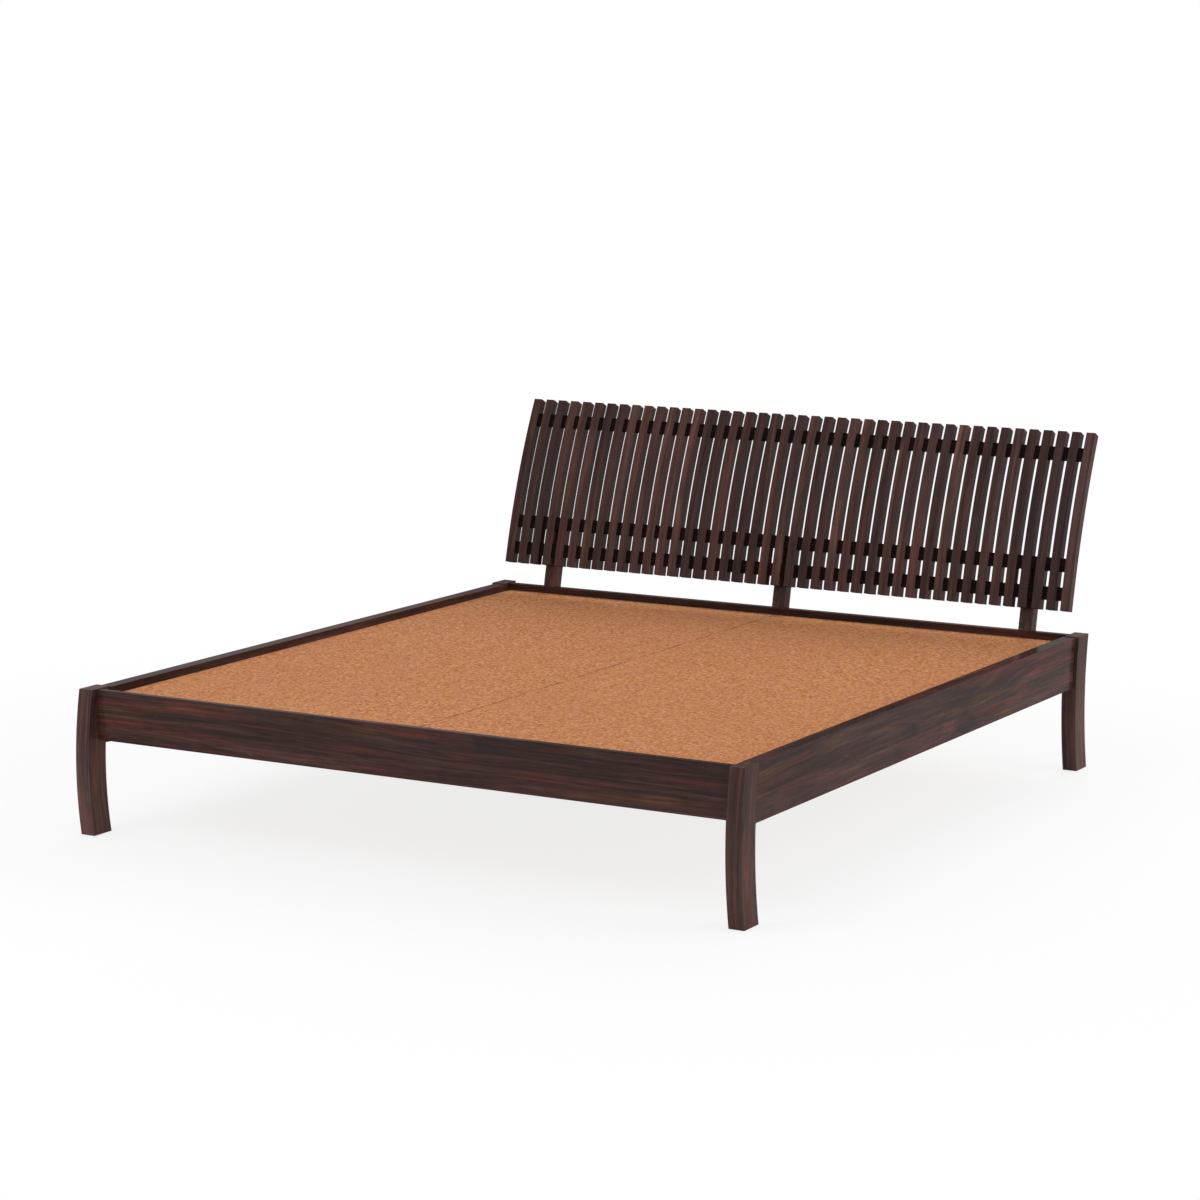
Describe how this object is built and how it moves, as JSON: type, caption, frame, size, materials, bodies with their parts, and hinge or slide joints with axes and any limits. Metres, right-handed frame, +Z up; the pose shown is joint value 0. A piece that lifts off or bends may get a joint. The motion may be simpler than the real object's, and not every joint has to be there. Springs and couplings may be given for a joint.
{
  "type": "platform bed",
  "caption": "Low wooden platform bed with bowed legs, deep side rails, a recessed board deck and a curved headboard of upright slats on short posts.",
  "frame": {"origin": "on the floor, in the middle of the footprint of the whole bed with its leaning headboard", "axes": "+Z up, +Y from the foot end towards the headboard, +X to the right when looking from the foot end to the headboard"},
  "size_m": [1.925, 2.2416, 0.9355],
  "materials": {
    "frame_wood": "dark stained hardwood with straight streaky grain, satin lacquer",
    "post_wood": "dark stained hardwood, satin lacquer",
    "slat_wood": "dark stained hardwood strips that vary in tone, satin lacquer",
    "batten_stain": "near-black stained wood, satin",
    "deck_board": "pressed fibre board, pale orange brown, matt",
    "plain_timber": "planed softwood, unfinished",
    "plated_steel": "zinc-plated sheet steel",
    "screw_steel": "zinc-plated screws",
    "glide_nylon": "dark nylon"
  },
  "bodies": {
    "root": {"leg_foot_left": "frame_wood", "leg_foot_right": "frame_wood", "leg_head_left": "frame_wood", "leg_head_right": "frame_wood", "foot_rail": "frame_wood", "head_rail": "frame_wood", "side_rail_left": "frame_wood", "side_rail_right": "frame_wood", "centre_leg": "frame_wood", "post_left": "post_wood", "post_middle": "post_wood", "post_right": "post_wood", "slats_01_02": "slat_wood", "slats_03_04": "slat_wood", "slats_05_06": "slat_wood", "slats_07_08": "slat_wood", "slats_09_10": "slat_wood", "slats_11_12": "slat_wood", "slats_13_14": "slat_wood", "slats_15_16": "slat_wood", "slats_17_18": "slat_wood", "slats_19_20": "slat_wood", "slats_21_22": "slat_wood", "slats_23_24": "slat_wood", "slats_25_26": "slat_wood", "slats_27_28": "slat_wood", "slats_29_30": "slat_wood", "slats_31_32": "slat_wood", "slats_33_34": "slat_wood", "slats_35_36": "slat_wood", "slats_37_38": "slat_wood", "slats_39_40": "slat_wood", "slats_41_42": "slat_wood", "slat_43": "slat_wood", "batten_bottom": "batten_stain", "batten_middle": "batten_stain", "batten_top": "batten_stain", "deck_panel_left": "deck_board", "deck_panel_right": "deck_board", "centre_beam": "plain_timber", "cleat_left": "plain_timber", "cleat_right": "plain_timber", "cleat_foot": "plain_timber", "cleat_head": "plain_timber", "cross_bearer_1": "plain_timber", "cross_bearer_2": "plain_timber", "cross_bearer_3": "plain_timber", "cross_bearer_4": "plain_timber", "cross_bearer_5": "plain_timber", "beam_shoe_foot": "plated_steel", "beam_shoe_head": "plated_steel", "corner_bracket_foot_left": "plated_steel", "corner_bracket_foot_right": "plated_steel", "corner_bracket_head_left": "plated_steel", "corner_bracket_head_right": "plated_steel", "bracket_screws": "screw_steel", "wood_screws": "screw_steel", "post_screws": "screw_steel", "batten_screws": "screw_steel", "leg_glides": "glide_nylon"}
  },
  "joints": []
}
